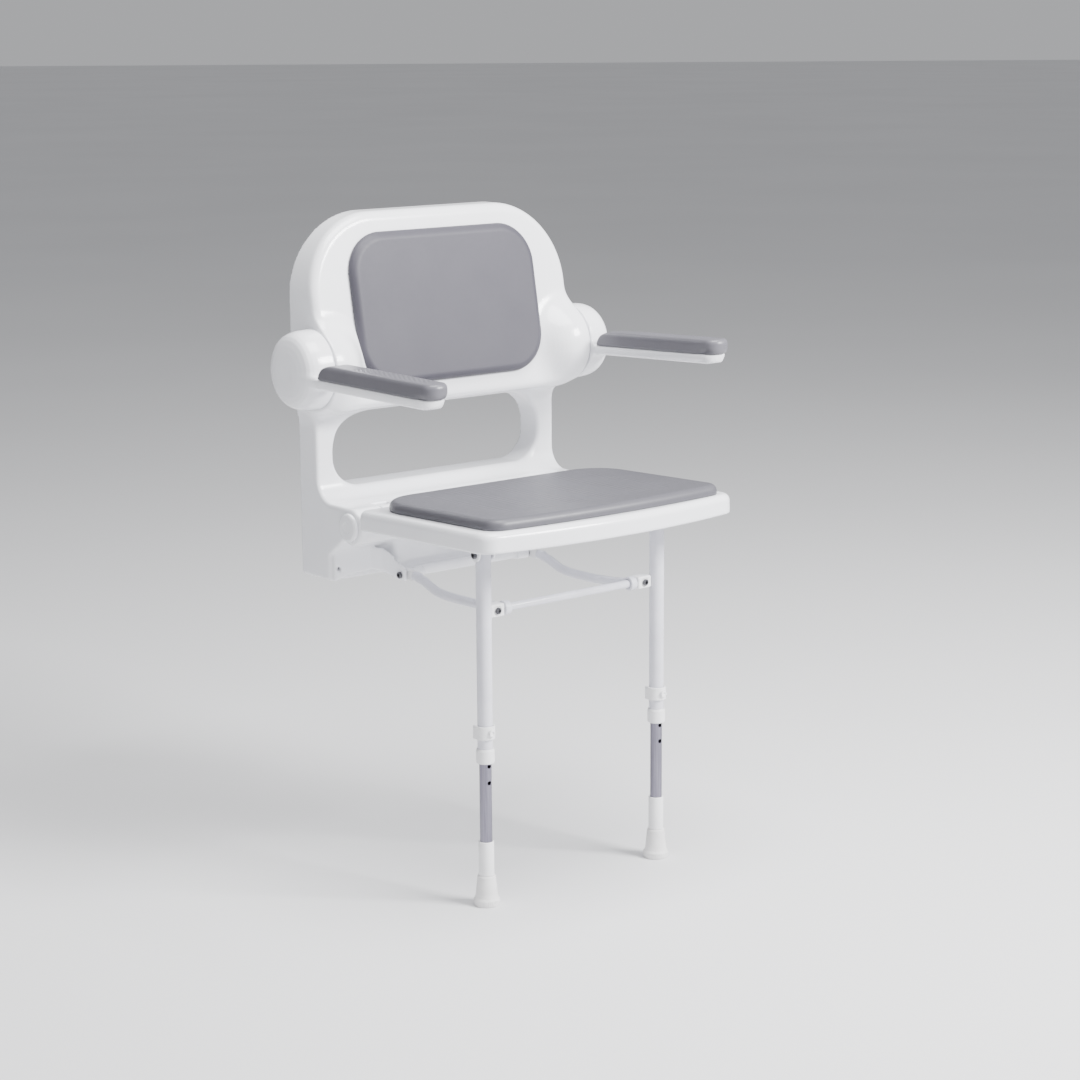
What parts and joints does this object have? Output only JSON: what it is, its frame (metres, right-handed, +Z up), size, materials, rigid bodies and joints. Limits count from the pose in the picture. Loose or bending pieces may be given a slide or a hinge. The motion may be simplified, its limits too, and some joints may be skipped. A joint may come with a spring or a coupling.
{
  "type": "wall-mounted shower chair",
  "caption": "Wall-mounted fold-up shower seat with padded seat and back, padded lift-up arms and height-adjustable front legs that stay upright as the seat folds.",
  "frame": {"origin": "on the wall plane, on the centre line, at the height of the seat's hinge axis (0.529 m above the floor)", "axes": "+X to the right as the object is looked at from the front, +Y into the wall, +Z up; the sitter faces -Y"},
  "size_m": [0.5812, 0.4816, 0.978],
  "materials": {
    "shell_white": "cool white moulded plastic, glossy",
    "pad_grey": "mid-grey integral-skin foam, satin, with fine moulded ribs",
    "tube_white": "white powder coat",
    "alloy": "satin anodised",
    "steel": "plain stainless",
    "foot_rubber": "off-white, matt",
    "trim_white": "off-white moulded plastic, satin"
  },
  "bodies": {
    "wall_frame": {"back_shell": "shell_white", "back_pad": "pad_grey", "lower_wall_plate": "steel", "upper_wall_plate": "steel", "lower_wall_screw_left": "steel", "lower_wall_screw_right": "steel", "upper_wall_screw_left": "steel", "upper_wall_screw_right": "steel", "hinge_rod": "steel", "hinge_cap_left": "shell_white", "hinge_cap_right": "shell_white", "link_bolt_left": "steel", "link_bolt_right": "steel", "arm_pin_left": "steel", "arm_pin_right": "steel"},
    "arm_left": {"arm_body_left": "shell_white", "arm_pad_left": "pad_grey", "hub_cap_left": "shell_white"},
    "arm_right": {"arm_body_right": "shell_white", "arm_pad_right": "pad_grey", "hub_cap_right": "shell_white"},
    "seat": {"seat_shell": "shell_white", "seat_pad": "pad_grey", "hinge_bush_left": "trim_white", "hinge_bush_right": "trim_white", "leg_bracket_left": "shell_white", "leg_bracket_right": "shell_white", "leg_pin_left": "steel", "leg_pin_right": "steel"},
    "leg_frame": {"cross_bar": "tube_white", "leg_tube_left": "tube_white", "leg_tube_right": "tube_white", "tube_bush_left": "trim_white", "tube_bush_right": "trim_white", "bar_block_left": "trim_white", "bar_block_right": "trim_white", "block_bolt_left": "steel", "block_bolt_right": "steel"},
    "lower_leg_left": {"inner_tube_left": "alloy", "leg_sleeve_left": "trim_white", "foot_left": "foot_rubber"},
    "lower_leg_right": {"inner_tube_right": "alloy", "leg_sleeve_right": "trim_white", "foot_right": "foot_rubber"},
    "clip_left": {"height_clip_left": "trim_white"},
    "clip_right": {"height_clip_right": "trim_white"},
    "link_left": {"link_bar_left": "tube_white", "link_lug_left": "trim_white"},
    "link_right": {"link_bar_right": "tube_white", "link_lug_right": "trim_white"}
  },
  "joints": [
    {"name": "seat_fold", "type": "hinge", "parent": "wall_frame", "child": "seat", "pos_m": [0, -0.126, 0], "axis": [-1, 0, 0], "range_deg": [0, 78]},
    {"name": "leg_swing", "type": "hinge", "parent": "seat", "child": "leg_frame", "pos_m": [0, -0.36, -0.01], "axis": [-1, 0, 0], "range_deg": [-78, 0]},
    {"name": "link_left_swing", "type": "hinge", "parent": "wall_frame", "child": "link_left", "pos_m": [-0.1195, -0.118, -0.086], "axis": [-1, 0, 0], "range_deg": [0, 78]},
    {"name": "link_right_swing", "type": "hinge", "parent": "wall_frame", "child": "link_right", "pos_m": [0.1195, -0.118, -0.086], "axis": [-1, 0, 0], "range_deg": [0, 78]},
    {"name": "arm_left_lift", "type": "hinge", "parent": "wall_frame", "child": "arm_left", "pos_m": [-0.241, -0.0626, 0.228], "axis": [-1, 0, 0], "range_deg": [0, 90]},
    {"name": "arm_right_lift", "type": "hinge", "parent": "wall_frame", "child": "arm_right", "pos_m": [0.241, -0.0626, 0.228], "axis": [-1, 0, 0], "range_deg": [0, 90]},
    {"name": "leg_left_height", "type": "slide", "parent": "leg_frame", "child": "lower_leg_left", "axis": [0, 0, 1], "range_m": [-0.075, 0.075]},
    {"name": "leg_right_height", "type": "slide", "parent": "leg_frame", "child": "lower_leg_right", "axis": [0, 0, 1], "range_m": [-0.075, 0.075]},
    {"name": "clip_left_pull", "type": "slide", "parent": "leg_frame", "child": "clip_left", "axis": [0, -1, 0], "range_m": [0, 0.008], "stiffness_N_per_m": 600, "springref_m": -0.002},
    {"name": "clip_right_pull", "type": "slide", "parent": "leg_frame", "child": "clip_right", "axis": [0, -1, 0], "range_m": [0, 0.008], "stiffness_N_per_m": 600, "springref_m": -0.002}
  ],
  "couplings": [
    {"joint": "leg_swing", "follows": "seat_fold", "ratio": -1},
    {"joint": "link_left_swing", "follows": "seat_fold", "ratio": 1},
    {"joint": "link_right_swing", "follows": "seat_fold", "ratio": 1}
  ]
}
